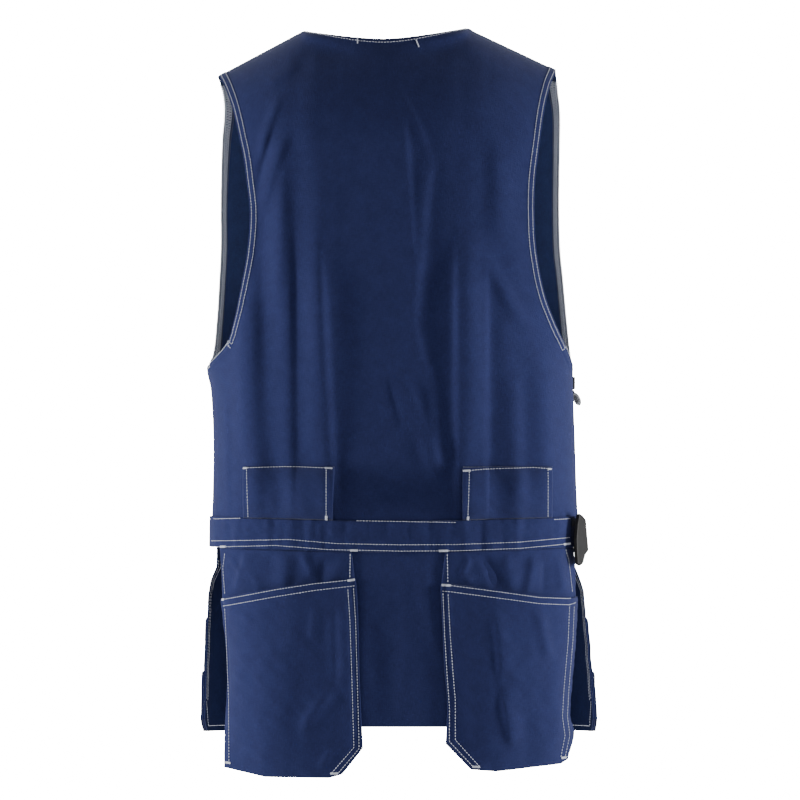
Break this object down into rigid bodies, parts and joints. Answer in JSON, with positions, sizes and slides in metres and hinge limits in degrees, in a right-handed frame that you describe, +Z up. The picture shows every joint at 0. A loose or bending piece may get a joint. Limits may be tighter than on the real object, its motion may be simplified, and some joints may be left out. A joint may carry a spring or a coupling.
{
  "type": "utility work vest",
  "caption": "Sleeveless canvas work vest with contrast stitching, belt tunnels and hanging holster pockets, in its worn form.",
  "frame": {"origin": "midway between the two shoulder points beside the neck, on the shoulder seams", "axes": "+Z up, -Y out of the wearer's back, +X to the wearer's right"},
  "size_m": [0.4634, 0.2835, 0.8838],
  "materials": {
    "navy_canvas": "navy cotton canvas with white contrast stitching",
    "navy_tape": "dark woven tape and webbing",
    "contrast_thread": "white and light grey sewing and overlock thread over the canvas",
    "zip_metal": "dark lacquered zip",
    "black_plastic": "moulded black plastic",
    "pull_rubber": "dark grey ribbed rubber"
  },
  "bodies": {
    "root": {"back_panel": "navy_canvas", "front_panel_left": "navy_canvas", "front_panel_right": "navy_canvas", "armhole_facing_left": "contrast_thread", "armhole_facing_right": "contrast_thread", "front_zip": "zip_metal", "hanger_loop": "navy_tape", "waistband_back": "navy_canvas", "waistband_front_left": "navy_canvas", "waistband_front_right": "navy_canvas", "belt_tunnel_left": "navy_canvas", "belt_tunnel_right": "navy_canvas", "tail_panel": "navy_canvas", "back_pocket_backing_left": "navy_canvas", "back_pocket_backing_right": "navy_canvas", "back_pouch_left": "navy_canvas", "back_pouch_right": "navy_canvas", "front_holster_backing_left": "navy_canvas", "front_holster_backing_right": "navy_canvas", "front_holster_pouch_left": "navy_canvas", "front_holster_pouch_right": "navy_canvas", "front_holster_tool_pouch_left": "navy_canvas", "front_holster_tool_pouch_right": "navy_canvas", "waist_buckle": "black_plastic", "waist_strap_right": "navy_tape", "side_zip_tape": "navy_tape", "side_zip_slider": "black_plastic", "side_zip_pull": "pull_rubber"}
  },
  "joints": []
}
